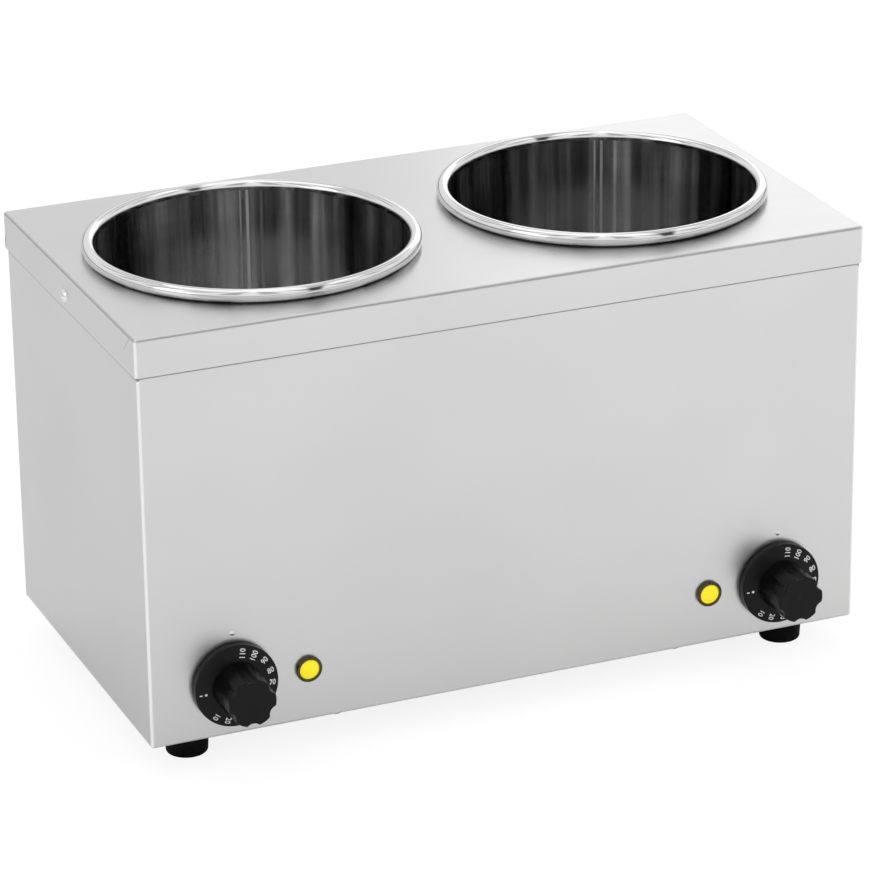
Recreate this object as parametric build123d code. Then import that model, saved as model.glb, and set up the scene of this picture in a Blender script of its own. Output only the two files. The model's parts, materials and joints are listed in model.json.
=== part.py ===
from build123d import *
import math
import os

# A two-well countertop bain marie: a folded stainless casing on four rubber feet, with two round
# water wells, each holding a lift-out round pot, its own ring heater, thermostat and pilot lamp.
# +Z is up, +X runs to the right along the front, -Y is the front with the dials.
# All sizes are in millimetres. The origin is on the table, under the middle of the whole object.

# Casing. Its width follows from the two pots and the margins round them.
side_margin = 14.3         # from the rolled rims to the sides
rim_gap = 24.6             # between the two rolled rims
depth = 232.0              # over the front and rear flanges of the top plate
casing_height = 244.0      # from the casing's underside to the top plate
foot_height = 20.0         # from the table to the casing's underside
sheet = 1.0                # thickness of all the folded casing sheets
bend_radius = 2.0          # outside radius of every fold
plate_edge = 1.6           # outside radius round the top of the plate
panel_fold = 0.9           # outside radius of the rear panel's lower fold
flange_height = 22.0       # depth of the top plate's turned-down flanges
flange_gap = 0.2           # between the flanges and the casing inside them
corner_notch = 2.5         # relief at the lower front corners of the flanges
corner_notch_height = 3.8
corner_slit = 7.4          # height of the slit at the rear end of each side flange
lip_width = 14.0           # inward lips that the base plate and the rear panel are screwed to
lip_trim = 2.0             # keeps the ends of neighbouring lips and sheets apart

# Pots and wells
pot_bore = 178.2           # inside the rolled rim
rim_roll = 7.6             # diameter of the rolled rim
rim_roll_open = 60.0       # degrees of the roll left open towards the wall
pot_sheet = 0.8
pot_height = 170.0
pot_neck = 9.0             # straight neck under the rim, above the small stacking step
pot_step = 0.8             # how far the wall steps in below the neck
pot_step_height = 2.4
pot_corner = 12.0          # outside radius round the pot's base
rim_seat = 0.3             # gap between the rolled rim and the top plate
hole_under_roll = 1.7      # how far the plate's hole edge lies inside the middle of the roll
collar_depth = 8.0         # turned-down collar round each hole
well_sheet = 0.8
well_fit = 0.1             # between the collar and the well's wall
well_floor = 56.0          # from the casing's underside to the well's underside
hole_edge = 0.6            # rounding at the mouth of each hole

# Heaters under the wells
heater_radius = 58.0       # to the middle of the heater tube
heater_tube = 8.0
heater_flat = 0.8          # depth pressed flat against the well
heater_gap = 36.0          # degrees between the heater's two ends
heater_leg = 9.0           # legs turned down at the ends
heater_pin = 1.6           # radius of the connection pins
heater_pin_reach = 7.0
clamp_width = 24.0         # cross-bar that presses the heater to the well
clamp_sheet = 2.0
clamp_overhang = 5.0
clamp_corner = 4.8
stud_radius = 4.0
stud_reach = 22.0
nut_flats = 13.0
nut_height = 6.5
thread_gap = 0.05

# Thermostats, spindles and dials
dial_inset = 50.8          # dial axes in from the sides
dial_height = 32.0         # above the casing's underside
spindle_radius = 3.0
spindle_flat = 1.5         # from the spindle's axis to its flat
spindle_run = 0.05
spindle_depth = 18.0       # held inside the thermostat
spindle_hole = 5.5         # radius of the hole in the front panel
stat_width = 36.0
stat_tall = 32.0
stat_deep = 36.0
stat_foot = 44.0           # width of the thermostat's mounting foot
stat_foot_tall = 16.0
stat_foot_sheet = 2.0
stat_screw_pitch = 28.0
tab_width = 6.3
tab_sheet = 0.8
tab_reach = 8.0
tab_pitch = 10.0
dial_radius = 24.6         # skirt
dial_gap = 1.2             # between the skirt and the front panel
dial_edge = 4.2            # thickness of the skirt at its edge
dial_rise = 1.4            # how far the skirt's face rises towards the grip
dial_wall = 2.2
dial_round = 0.5           # rounding at the edge of the skirt
dial_reach = 31.0          # from the front panel to the face of the grip
grip_radius = 14.6
grip_lobes = 6
scallop_radius = 5.2
scallop_depth = 2.0
grip_draft = 1.2           # degrees
grip_edge = 0.9
grip_wall = 2.4
grip_corner = 1.3          # rounding along the lobes
hub_radius = 6.0
clip_sheet = 0.5
clip_width = 4.0
clip_length = 9.0
clip_gap = 0.1
pip_above_dial = 30.2      # raised index pip on the front panel
pip_radius = 1.6
pip_height = 0.7

# Pilot lamps
lamp_from_dial = 44.6      # lamp axes in from the dial axes
lamp_height = 32.0
bezel_radius = 7.8
bezel_bore = 6.0
bezel_height = 2.4
bezel_round = 1.0
lens_gap = 0.1
lens_depth = 8.0
lens_crown = 0.9
lens_recess = 0.7          # edge of the lens below the face of the bezel
lamp_body_radius = 6.8
lamp_body_length = 24.0
lamp_hole_gap = 0.2
lamp_tab_pitch = 6.6
lamp_tab_width = 4.2
lamp_nut_radius = 9.0
lamp_nut_height = 3.0

# Feet
foot_inset = 32.5          # foot centres in from the edges of the top plate
foot_top_radius = 13.2
foot_bottom_radius = 12.0
foot_edge = 1.5
foot_recess_radius = 7.5
foot_recess = 12.0
foot_bolt = 2.5            # radius
foot_bolt_head = 4.5
foot_bolt_head_height = 3.2
foot_washer = 6.5
foot_washer_sheet = 1.2
foot_nut_flats = 8.0
foot_nut_height = 4.0
foot_bolt_clear = 0.2

# Fasteners
rivet_head = 4.2           # radius of the dome heads on the top plate's flanges
rivet_crown = 2.4
rivet_shank = 2.0
rivet_below_top = 14.5
rivet_from_middle = 4.0    # towards the rear
rivet_tail = 3.0
rivet_tail_radius = 3.2
screw_head = 3.4
screw_head_height = 2.0
head_round = 1.2           # rounding of all the screw heads
screw_shank = 1.7
screw_reach = 7.0
screw_gap = 0.1
slot_width = 1.0
slot_depth = 0.9
base_screw_spread = 0.45   # of the half depth, to the screws along the sides
panel_screw_inset = 7.0    # from the edge of the sheet that is screwed on
stat_screw_head = 3.5
stat_screw_head_height = 2.2
stat_screw_shank = 2.0
stat_screw_end_gap = 1.0

# Mains entry and wiring
gland_inset = 70.0         # in from the right side
gland_height = 34.0        # above the casing's underside
gland_bore = 4.2           # radius
gland_thread = 8.0
gland_body = 11.0          # radius across the corners of the hexagon
gland_hex = 5.0
gland_cap = 10.0           # radius of the domed cap
gland_cap_length = 12.0
gland_round = 3.3
gland_inside = 9.0
gland_nut = 11.0
gland_nut_height = 4.0
block_end = 9.0            # from the outer poles to the ends of the terminal block
block_width = 20.0
block_tall = 18.0
block_from_rear = 40.0     # middle of the terminal block from the rear panel
block_poles = 7
block_pitch = 9.0
block_hole = 1.8
block_screw = 2.2
block_fix_inset = 3.7      # fixing screws from the ends of the block
block_fix_head = 2.4
earth_from_block = 54.0    # earth stud in front of the terminal block
earth_nut_flats = 8.0
earth_stud_radius = 2.5
earth_stud_reach = 14.0
earth_head = 4.5
wire = 1.3                 # radius of the insulated wires
wire_bend = 6.0
wire_bend_close = 5.4      # where two bends follow each other closely
wire_level = 8.0           # of the wires that cross the casing, above the base plate
wire_lead = 20.0           # straight out of the terminal block
wire_step = 1.0            # by which the lamps' wires pass over the others
wire_start = 2.6           # inside the bores of the terminal block
stat_run = 13.2            # straight onto the thermostat's tabs
stat_turn = 30.0           # where the live wires turn towards those tabs
stat_loop = 18.0
pin_run = 15.0             # straight onto the heater's pins
lamp_run = 9.6             # straight onto the lamp's tabs
lamp_turn = 24.0
lamp_loop = 14.4
earth_run = 18.0
earth_level = 3.5
lamp_lane = 2.0            # where the lamp's neutral wire turns outwards
capillary = 0.8            # radius
capillary_bend = 5.0
capillary_bend_close = 4.5
bulb_radius = 3.0
bulb_length = 66.0
bulb_offset = 24.0         # from the well's axis, outwards
bulb_gap = 0.1
bulb_clip_sheet = 0.8
bulb_clip_length = 14.0
bulb_clip_ear = 6.0

# Base plate vents
vent_length = 40.0
vent_width = 4.0
vent_pitch = 12.0
vent_rows = 5

overcut = 1.0              # how far cutting shapes run past the faces that they open

# Levels and planes that follow from the sizes above
rim_radius = pot_bore / 2 + rim_roll        # over the rolled rim
pot_pitch = 2 * rim_radius + rim_gap        # between the two pot centres
width = pot_pitch + 2 * rim_radius + 2 * side_margin    # over the side flanges of the top plate
dial_spacing = width - 2 * dial_inset
lamp_spacing = dial_spacing - 2 * lamp_from_dial
floor_z = foot_height                       # casing's underside
base_under = floor_z + sheet                # base plate lies on the inward lips
base_top = base_under + sheet
plate_top = floor_z + casing_height
plate_under = plate_top - sheet
shell_half_x = width / 2 - sheet - flange_gap
front_face = -(depth / 2 - sheet - flange_gap)
front_back = front_face + sheet             # inner face of the front panel
rear_face = -front_face                     # outer face of the rear panel
shell_rear = rear_face - sheet
dial_z = floor_z + dial_height
lamp_z = floor_z + lamp_height
well_under = floor_z + well_floor
roll_radius = rim_roll / 2
roll_middle = pot_bore / 2 + roll_radius    # radius of the middle of the rolled rim
roll_z = plate_top + rim_seat + roll_radius
hole_radius = roll_middle - hole_under_roll
collar_outside = hole_radius + sheet
well_radius = collar_outside + well_fit     # inside the well
pot_bottom = roll_z + roll_radius - pot_height
gland_x = width / 2 - gland_inset
gland_z = floor_z + gland_height
dial_face = front_face - dial_reach
gland_end = rear_face + gland_hex + gland_cap_length
block_length = (block_poles - 1) * block_pitch + 2 * block_end
middle_shift = -(dial_face + gland_end) / 2   # puts the origin under the middle of the whole object

sides = {"left": -1, "right": 1}
parts = {}


def block(x, y, z):
    """Box between pairs of limits."""
    size = (x[1] - x[0], y[1] - y[0], z[1] - z[0])
    return Pos((x[0] + x[1]) / 2, (y[0] + y[1]) / 2, (z[0] + z[1]) / 2) * Box(*size)


def post(x, y, z, radius):
    """Upright cylinder between two heights."""
    return Pos(x, y, (z[0] + z[1]) / 2) * Cylinder(radius, z[1] - z[0])


def rod_y(x, z, y, radius):
    """Cylinder along Y."""
    return Pos(x, (y[0] + y[1]) / 2, z) * Rot(90, 0, 0) * Cylinder(radius, y[1] - y[0])


def rod_x(y, z, x, radius):
    """Cylinder along X."""
    return Pos((x[0] + x[1]) / 2, y, z) * Rot(0, 90, 0) * Cylinder(radius, x[1] - x[0])


def turned(face, x=0.0, y=0.0):
    """Turns a flat outline, drawn as radius and height, about an upright axis."""
    return Pos(x, y, 0) * revolve(Plane.XZ * face, Axis.Z)


def turned_forward(face, x, y, z):
    """Turns an outline, drawn as radius and reach, about an axis that points to the front."""
    return Pos(x, y, z) * Rot(90, 0, 0) * revolve(Plane.XZ * face, Axis.Z)


def rectangle(r, z):
    return Pos((r[0] + r[1]) / 2, (z[0] + z[1]) / 2) * Rectangle(r[1] - r[0], z[1] - z[0])


def polygon(*points):
    return make_face(Polyline(*points, close=True))


def cup_outline(radius, bottom, top, corner):
    """Half section of a filled cup with a rounded base corner."""
    face = rectangle((0, radius), (bottom, top))
    low = face.vertices().filter_by(lambda v: v.X > radius / 2 and v.Y < (bottom + top) / 2)
    return fillet(low, corner)


def hexagon(flats, height):
    return extrude(RegularPolygon(flats / 2, 6, major_radius=False), height)


def tube(points, radius, bend):
    """Round tube of straight runs joined by tangent bends."""
    path = FilletPolyline(*points, radius=bend)
    return sweep(Plane(path @ 0, z_dir=path % 0) * Circle(radius), path)


def pan_screw(head, head_height, shank, reach):
    """Slotted screw along +Z with its head below zero and its shank above it."""
    dome = Pos(0, 0, -head_height / 2) * Cylinder(head, head_height)
    dome = fillet(dome.edges().filter_by(GeomType.CIRCLE).sort_by(Axis.Z)[0], head_round)
    screw = dome + post(0, 0, (0, reach), shank)
    return screw - Pos(0, 0, -head_height + slot_depth / 2) * Box(2 * head, slot_width, slot_depth)


def casing_block(half_x, front, rear, low, high, radius):
    """Block with all upright edges and its lower edges rounded."""
    body = block((-half_x, half_x), (front, rear), (low, high))
    body = fillet(body.edges().filter_by(Axis.Z), radius)
    return fillet(body.faces().sort_by(Axis.Z)[0].edges(), radius)


def make_top_plate():
    """Tray turned upside down, with two collared holes."""
    low = plate_top - flange_height
    outer = block((-width / 2, width / 2), (-depth / 2, depth / 2), (low, plate_top))
    outer = fillet(outer.edges().filter_by(Axis.Z), bend_radius)
    outer = fillet(outer.faces().sort_by(Axis.Z)[-1].edges(), plate_edge)
    inner = block((-width / 2 + sheet, width / 2 - sheet), (-depth / 2 + sheet, depth / 2 - sheet),
                  (low - sheet, plate_under))
    inner = fillet(inner.edges().filter_by(Axis.Z), bend_radius - sheet)
    plate = outer - inner
    for x in (-pot_pitch / 2, pot_pitch / 2):
        plate += post(x, 0, (plate_under - collar_depth, plate_top), collar_outside)
        plate -= post(x, 0, (low - sheet, plate_top + sheet), hole_radius)
    mouths = plate.faces().sort_by(Axis.Z)[-1].edges().filter_by(GeomType.CIRCLE)
    mouths = mouths.filter_by(lambda e: abs(e.radius - hole_radius) < sheet / 2)
    plate = fillet(mouths, hole_edge)
    notch = Box(corner_notch, corner_notch, corner_notch_height)
    for side in sides.values():
        plate -= Pos(side * width / 2, -depth / 2, low) * Rot(0, 0, 45) * notch
        end = depth / 2 - bend_radius
        plate -= block(sorted((side * (width / 2 - 2 * sheet), side * (width / 2 + sheet))),
                       (end - sheet, end), (low - sheet, low + corner_slit))
        plate -= rod_x(rivet_from_middle, plate_top - rivet_below_top,
                       sorted((side * (width / 2 - 2 * sheet), side * (width / 2 + sheet))), rivet_shank)
    return plate


def stat_screw_places():
    """Centres of the two screws of each thermostat."""
    return [(side * dial_spacing / 2 + end * stat_screw_pitch / 2, dial_z)
            for side in sides.values() for end in (-1, 1)]


def base_screw_places():
    """Screws from below through the inward lips into the base plate."""
    reach_x = shell_half_x - panel_screw_inset
    reach_y = -front_face - panel_screw_inset
    spread = reach_y * base_screw_spread
    beside = [(x, y) for x in (-reach_x, reach_x) for y in (-spread, spread)]
    return beside + [(x, -reach_y) for x in (-reach_x / 2, reach_x / 2)]


def rear_screw_places():
    """Screws from behind through the rear panel into the casing's rear lips."""
    reach_x = shell_half_x - panel_screw_inset
    spread = casing_height / 2 - flange_height - 2 * panel_screw_inset
    return [(x, floor_z + casing_height / 2 - flange_height / 2 + z)
            for x in (-reach_x, reach_x) for z in (-spread, 0, spread)]


def make_casing_shell():
    """Left, front and right walls in one folded sheet, with inward lips below and behind."""
    shell = casing_block(shell_half_x, front_face, shell_rear, floor_z, plate_under + bend_radius,
                         bend_radius)
    shell -= casing_block(shell_half_x - sheet, front_back, shell_rear - sheet, base_under,
                          plate_under + 2 * bend_radius, bend_radius - sheet)
    shell -= block((-width, width), (-depth, depth), (plate_under, plate_top + 2 * bend_radius))
    lip_x = shell_half_x - lip_width
    shell -= block((-lip_x, lip_x), (front_face + lip_width, shell_rear + sheet),
                   (floor_z - sheet, base_under + sheet))
    shell -= block((-lip_x, lip_x), (shell_rear - 2 * sheet, shell_rear + sheet),
                   (floor_z - sheet, plate_top))
    for side in sides.values():
        x = side * dial_spacing / 2
        shell -= rod_y(x, dial_z, (front_face - sheet, front_back + sheet), spindle_hole)
        rise = (pip_radius ** 2 + pip_height ** 2) / (2 * pip_height)
        pip = Pos(x, front_face + rise - pip_height, dial_z + pip_above_dial) * Sphere(rise)
        shell += pip & block((x - rise, x + rise), (front_face - rise, front_face + sheet / 2),
                             (dial_z, plate_top))
        shell -= rod_y(side * lamp_spacing / 2, lamp_z, (front_face - sheet, front_back + sheet),
                       lamp_body_radius + lamp_hole_gap)
        shell -= rod_x(rivet_from_middle, plate_top - rivet_below_top,
                       sorted((side * (shell_half_x - 2 * sheet), side * (shell_half_x + sheet))),
                       rivet_shank)
    for x, z in stat_screw_places():
        shell -= rod_y(x, z, (front_face - sheet, front_back + sheet), stat_screw_shank + screw_gap)
    for x, y in base_screw_places():
        shell -= post(x, y, (floor_z - sheet, base_under + sheet), screw_shank + screw_gap)
    for x, z in rear_screw_places():
        shell -= rod_y(x, z, (shell_rear - 2 * sheet, shell_rear + sheet), screw_shank + screw_gap)
    return shell


def make_rear_panel():
    """Flat rear sheet outside the casing's rear lips, with its own inward lip at the bottom."""
    half = shell_half_x - lip_trim / 4
    panel = block((-half, half), (shell_rear, rear_face), (floor_z, plate_under))
    lip_half = shell_half_x - lip_width - lip_trim
    panel += block((-lip_half, lip_half), (shell_rear - lip_width, shell_rear), (floor_z, base_under))
    fold = panel.edges().filter_by(Axis.X).filter_by(
        lambda e: abs(e.center().Y - rear_face) < 0.1 and abs(e.center().Z - floor_z) < 0.1)
    panel = fillet(fold, panel_fold)
    panel -= rod_y(gland_x, gland_z, (shell_rear - sheet, rear_face + sheet), gland_thread + screw_gap)
    for x, z in rear_screw_places():
        panel -= rod_y(x, z, (shell_rear - sheet, rear_face + sheet), screw_shank + screw_gap)
    return panel


def foot_places():
    x, y = width / 2 - foot_inset, depth / 2 - foot_inset
    return {"front_left": (-x, -y), "front_right": (x, -y), "rear_left": (-x, y), "rear_right": (x, y)}


def make_base_plate():
    """Flat sheet on the inward lips, with vents under each well."""
    gap = lip_trim / 2
    plate = block((-shell_half_x + sheet + gap, shell_half_x - sheet - gap),
                  (front_back + gap, shell_rear - sheet - gap), (base_under, base_top))
    slot = extrude(SlotOverall(vent_length, vent_width), 3 * sheet)
    for side in sides.values():
        for row in range(vent_rows):
            y = (row - (vent_rows - 1) / 2) * vent_pitch
            plate -= Pos(side * pot_pitch / 2, y, base_under - sheet) * slot
    for x, y in foot_places().values():
        plate -= post(x, y, (base_under - sheet, base_top + sheet), foot_bolt + foot_bolt_clear)
    for x, y in base_screw_places():
        plate -= post(x, y, (base_under - sheet, base_top + sheet), screw_shank)
    plate -= post(0, earth_y(), (base_under - sheet, base_top + sheet), earth_stud_radius)
    for x in block_screw_places():
        plate -= post(x, block_y(), (base_under - sheet, base_top + sheet), screw_shank)
    return plate


def make_pot(x):
    """Round pot with a rolled rim, a short neck, a small stacking step and a rounded base."""
    roll = Circle(roll_radius) - Circle(roll_radius - pot_sheet)
    reach = 2 * rim_roll
    opening = math.radians(rim_roll_open)
    roll -= polygon((0, 0), (-reach, 0), (-reach, -reach * math.tan(opening)))
    neck_radius = pot_bore / 2
    neck_low = roll_z - pot_neck
    step_low = neck_low - pot_step_height
    wall_radius = neck_radius - pot_step
    section = Pos(roll_middle, roll_z) * roll
    section += rectangle((neck_radius, neck_radius + pot_sheet), (neck_low, roll_z))
    section += polygon((neck_radius, neck_low), (neck_radius + pot_sheet, neck_low),
                       (wall_radius + pot_sheet, step_low), (wall_radius, step_low))
    section += (cup_outline(wall_radius + pot_sheet, pot_bottom, step_low, pot_corner)
                - cup_outline(wall_radius, pot_bottom + pot_sheet, step_low + overcut,
                              pot_corner - pot_sheet))
    return turned(section, x)


def make_well(x):
    """Wall of the round water tank, pushed over the plate's collar and welded to it."""
    section = rectangle((well_radius, well_radius + well_sheet), (well_under + well_sheet, plate_under))
    return turned(section, x)


def make_well_floor(x):
    """Flat floor, welded under the tank's wall."""
    return post(x, 0, (well_under, well_under + well_sheet), well_radius + well_sheet)


def make_well_stud(x):
    """Stud welded under the tank's floor for the heater's clamp."""
    return post(x, 0, (well_under - stud_reach, well_under), stud_radius)


def heater_level():
    """Height of the middle of the heater tube."""
    return well_under - heater_tube / 2 + heater_flat


def heater_ends(side):
    """Angles of the heater's two ends, which face the middle of the object."""
    towards = 180 if side > 0 else 0
    return towards + heater_gap / 2, towards - heater_gap / 2


def heater_end_places(side):
    return [(side * pot_pitch / 2 + heater_radius * math.cos(math.radians(a)),
             heater_radius * math.sin(math.radians(a))) for a in heater_ends(side)]


def make_heater(side):
    """Ring heater pressed flat against the well, with its ends turned down to two pins."""
    z = heater_level()
    section = Circle(heater_tube / 2)
    section &= rectangle((-heater_tube, heater_tube), (-heater_tube, heater_tube / 2 - heater_flat))
    ring = revolve(Plane.XZ * Pos(heater_radius, z) * section, Axis.Z, 360 - heater_gap)
    ring = Pos(side * pot_pitch / 2, 0, 0) * Rot(0, 0, heater_ends(side)[0]) * ring
    for x, y in heater_end_places(side):
        leg = post(x, y, (z - heater_leg, well_under), heater_tube / 2 - heater_flat)
        ring += leg + post(x, y, (z - heater_leg - heater_pin_reach, z), heater_pin)
    return ring


def clamp_level():
    return heater_level() - heater_tube / 2


def make_clamp(side):
    """Cross-bar along Y that holds the heater up with the well's stud."""
    reach = heater_radius + clamp_overhang
    z = clamp_level()
    bar = block((-clamp_width / 2, clamp_width / 2), (-reach, reach), (z - clamp_sheet, z))
    bar = fillet(bar.edges().filter_by(Axis.Z), clamp_corner)
    bar -= post(0, 0, (z - 2 * clamp_sheet, z + clamp_sheet), stud_radius + screw_gap)
    return Pos(side * pot_pitch / 2, 0, 0) * bar


def make_clamp_nut(side):
    nut = hexagon(nut_flats, nut_height) - Pos(0, 0, nut_height / 2) * Cylinder(
        stud_radius + thread_gap, 2 * nut_height)
    return Pos(side * pot_pitch / 2, 0, clamp_level() - clamp_sheet - nut_height) * nut


def stat_back():
    return front_back + stat_deep


def tab_places(side):
    """Centres of the thermostat's three connection tabs, at its back."""
    x = side * dial_spacing / 2
    return [(x + (i - 1) * tab_pitch, stat_back(), dial_z - stat_tall / 4) for i in range(3)]


def capillary_place(side):
    return side * dial_spacing / 2, stat_back(), dial_z + stat_tall / 4


def make_thermostat(side):
    """Thermostat behind the front panel, bored for the spindle."""
    x = side * dial_spacing / 2
    body = block((x - stat_width / 2, x + stat_width / 2), (front_back + stat_foot_sheet, stat_back()),
                 (dial_z - stat_tall / 2, dial_z + stat_tall / 2))
    body = fillet(body.edges().filter_by(Axis.Y), 2 * sheet)
    body += block((x - stat_foot / 2, x + stat_foot / 2), (front_back, front_back + stat_foot_sheet),
                  (dial_z - stat_foot_tall / 2, dial_z + stat_foot_tall / 2))
    for tx, ty, tz in tab_places(side):
        body += block((tx - tab_sheet / 2, tx + tab_sheet / 2), (ty - sheet, ty + tab_reach),
                      (tz - tab_width / 2, tz + tab_width / 2))
    body -= rod_y(x, dial_z, (front_back - sheet, front_back + spindle_depth),
                  spindle_radius + spindle_run)
    for sx, sz in stat_screw_places():
        body -= rod_y(sx, sz, (front_back - sheet, front_back + screw_reach),
                      stat_screw_shank + thread_gap)
    return body


def bulb_line(side):
    """X, Z and half length of the sensing bulb under the well."""
    x = side * (pot_pitch / 2 + bulb_offset)
    return x, well_under - bulb_gap - bulb_radius, bulb_length / 2


def make_capillary(side):
    """Sensing bulb under the well, with its capillary run to the thermostat."""
    x, z, half = bulb_line(side)
    end_x, end_y, end_z = capillary_place(side)
    drop = clamp_level() - clamp_sheet - 2 * capillary_bend
    turn = -half - 2 * capillary_bend
    last = end_y + 3 * capillary_bend
    route = [(x, -half, z), (x, turn, z), (x, turn, drop), (end_x, last, end_z), (end_x, end_y, end_z)]
    line = tube(route, capillary, capillary_bend_close)
    bulb = Pos(x, 0, z) * Rot(90, 0, 0) * Cylinder(bulb_radius, 2 * half)
    bulb = fillet(bulb.edges().filter_by(GeomType.CIRCLE), bulb_radius / 2)
    return bulb + line


def make_bulb_clip(side):
    """Saddle strip that holds the bulb up to the well's floor."""
    x, z, _ = bulb_line(side)
    inside = bulb_radius + bulb_gap
    outside = inside + bulb_clip_sheet
    top = well_under
    saddle = Circle(outside) + rectangle((-outside, outside), (0, top - z))
    ears = rectangle((-outside - bulb_clip_ear, outside + bulb_clip_ear),
                     (top - z - bulb_clip_sheet, top - z))
    saddle = saddle + ears - Circle(inside) - rectangle((-inside, inside), (0, top - z + overcut))
    clip = extrude(Plane.XZ * saddle, bulb_clip_length / 2, both=True)
    return Pos(x, 0, z) * clip


def spindle_end():
    """Front end of the spindle, inside the grip."""
    return dial_face + 2 * grip_wall


def make_spindle(side):
    """Thermostat spindle with a flat where the dial grips it."""
    x = side * dial_spacing / 2
    back = front_back + spindle_depth - sheet
    spindle = rod_y(x, dial_z, (spindle_end(), back), spindle_radius)
    flat_from = front_face - dial_gap - dial_edge
    return spindle - block((x - spindle_radius, x + spindle_radius), (spindle_end() - sheet, flat_from),
                           (dial_z + spindle_flat, dial_z + 2 * spindle_radius))


def grip_outline():
    """Round grip with scalloped sides, one lobe for every scallop."""
    outline = Circle(grip_radius)
    centre = grip_radius - scallop_depth + scallop_radius
    for i in range(grip_lobes):
        angle = math.radians((i + 0.5) * 360 / grip_lobes)
        outline -= Pos(centre * math.cos(angle), centre * math.sin(angle)) * Circle(scallop_radius)
    return fillet(outline.vertices(), grip_corner)


def make_dial(side):
    """Skirted dial with a lobed grip, hollow behind, with a hub on the spindle."""
    face = dial_gap + dial_edge
    skirt = polygon((0, dial_gap), (dial_radius, dial_gap), (dial_radius, face),
                    (grip_radius + grip_edge, face + dial_rise), (0, face + dial_rise))
    dial = revolve(Plane.XZ * skirt, Axis.Z)
    rim = dial.edges().filter_by(GeomType.CIRCLE).filter_by(
        lambda e: abs(e.radius - dial_radius) < 0.01 and abs(e.center().Z - face) < 0.01)
    dial = fillet(rim, dial_round)
    outline = grip_outline()
    drawn_in = 1 - (dial_reach - face) * math.tan(math.radians(grip_draft)) / grip_radius
    grip = loft([Pos(0, 0, face) * outline, Pos(0, 0, dial_reach) * scale(outline, drawn_in)], ruled=True)
    grip = fillet(grip.faces().sort_by(Axis.Z)[-1].edges(), grip_edge)
    dial += grip
    hollow = Circle(dial_radius - dial_wall) - Circle(hub_radius)
    dial -= extrude(Pos(0, 0, dial_gap - overcut) * hollow, overcut + dial_edge - dial_wall)
    hollow = Circle(grip_radius - scallop_depth - grip_wall) - Circle(hub_radius)
    dial -= extrude(Pos(0, 0, dial_gap - overcut) * hollow,
                    overcut + dial_reach - dial_gap - 2 * grip_wall)
    flat = spindle_flat + clip_sheet + 2 * clip_gap
    bore = Circle(spindle_radius + spindle_run) - rectangle(
        (-2 * spindle_radius, 2 * spindle_radius), (flat, 2 * spindle_radius))
    dial -= extrude(bore, dial_reach - 2 * grip_wall + clip_gap)
    dial -= extrude(Circle(spindle_radius + spindle_run), face)
    return Pos(side * dial_spacing / 2, front_face, dial_z) * Rot(90, 0, 0) * dial


def make_dial_clip(side):
    """Flat spring between the spindle's flat and the dial's bore."""
    x = side * dial_spacing / 2
    end = spindle_end() + 2 * sheet
    low = dial_z + spindle_flat + clip_gap
    return block((x - clip_width / 2, x + clip_width / 2), (end, end + clip_length),
                 (low, low + clip_sheet))


def make_bezel(side):
    """Bright ring round the pilot lamp."""
    section = rectangle((bezel_bore, bezel_radius), (0, bezel_height))
    corner = section.vertices().filter_by(lambda v: v.Y > bezel_height / 2 and v.X > bezel_bore + 0.1)
    section = fillet(corner, bezel_round)
    return turned_forward(section, side * lamp_spacing / 2, front_face, lamp_z)


def make_lens(side):
    """Coloured lens with a low crown, held in the lamp's body."""
    radius = bezel_bore - lens_gap
    edge = bezel_height - lens_recess
    rise = (radius ** 2 + lens_crown ** 2) / (2 * lens_crown)
    crown = Circle(rise)
    crown = Pos(0, edge + lens_crown - rise) * crown & rectangle((0, radius), (edge, edge + lens_crown))
    section = rectangle((0, radius), (-lens_depth, edge)) + crown
    return turned_forward(section, side * lamp_spacing / 2, front_face, lamp_z)


def lamp_tab_places(side):
    x = side * lamp_spacing / 2
    return [(x + end * lamp_tab_pitch / 2, front_face + lamp_body_length, lamp_z) for end in (-1, 1)]


def make_lamp_body(side):
    """Plastic barrel through the panel, open in front for the lens."""
    x = side * lamp_spacing / 2
    barrel = rod_y(x, lamp_z, (front_face, front_face + lamp_body_length), lamp_body_radius)
    barrel -= rod_y(x, lamp_z, (front_face - overcut, front_face + lens_depth + lens_gap), bezel_bore)
    for tx, ty, tz in lamp_tab_places(side):
        barrel += block((tx - tab_sheet / 2, tx + tab_sheet / 2), (ty - sheet, ty + tab_reach),
                        (tz - lamp_tab_width / 2, tz + lamp_tab_width / 2))
    return barrel


def make_lamp_nut(side):
    nut = hexagon(2 * lamp_nut_radius * math.cos(math.pi / 6), lamp_nut_height)
    nut -= Cylinder(lamp_body_radius + thread_gap, 4 * lamp_nut_height)
    return Pos(side * lamp_spacing / 2, front_back + lamp_nut_height, lamp_z) * Rot(90, 0, 0) * nut


def make_foot(x, y):
    """Tapered rubber foot, recessed below for its bolt."""
    section = polygon((0, 0), (foot_bottom_radius, 0), (foot_top_radius, base_under), (0, base_under))
    low = section.vertices().filter_by(lambda v: v.X > foot_bottom_radius / 2 and v.Y < foot_height / 2)
    foot = turned(fillet(low, foot_edge), x, y)
    foot -= post(x, y, (-overcut, foot_recess), foot_recess_radius)
    return foot - post(x, y, (-overcut, base_under + overcut), foot_bolt + foot_bolt_clear)


def make_foot_washer(x, y):
    washer = post(x, y, (foot_recess - foot_washer_sheet, foot_recess), foot_washer)
    return washer - post(x, y, (0, base_under), foot_bolt + foot_bolt_clear)


def make_foot_bolt(x, y):
    """Bolt up through the foot, with its head in the recess."""
    head_top = foot_recess - foot_washer_sheet
    reach = base_top + foot_nut_height + sheet - head_top
    return Pos(x, y, head_top) * pan_screw(foot_bolt_head, foot_bolt_head_height, foot_bolt, reach)


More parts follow.
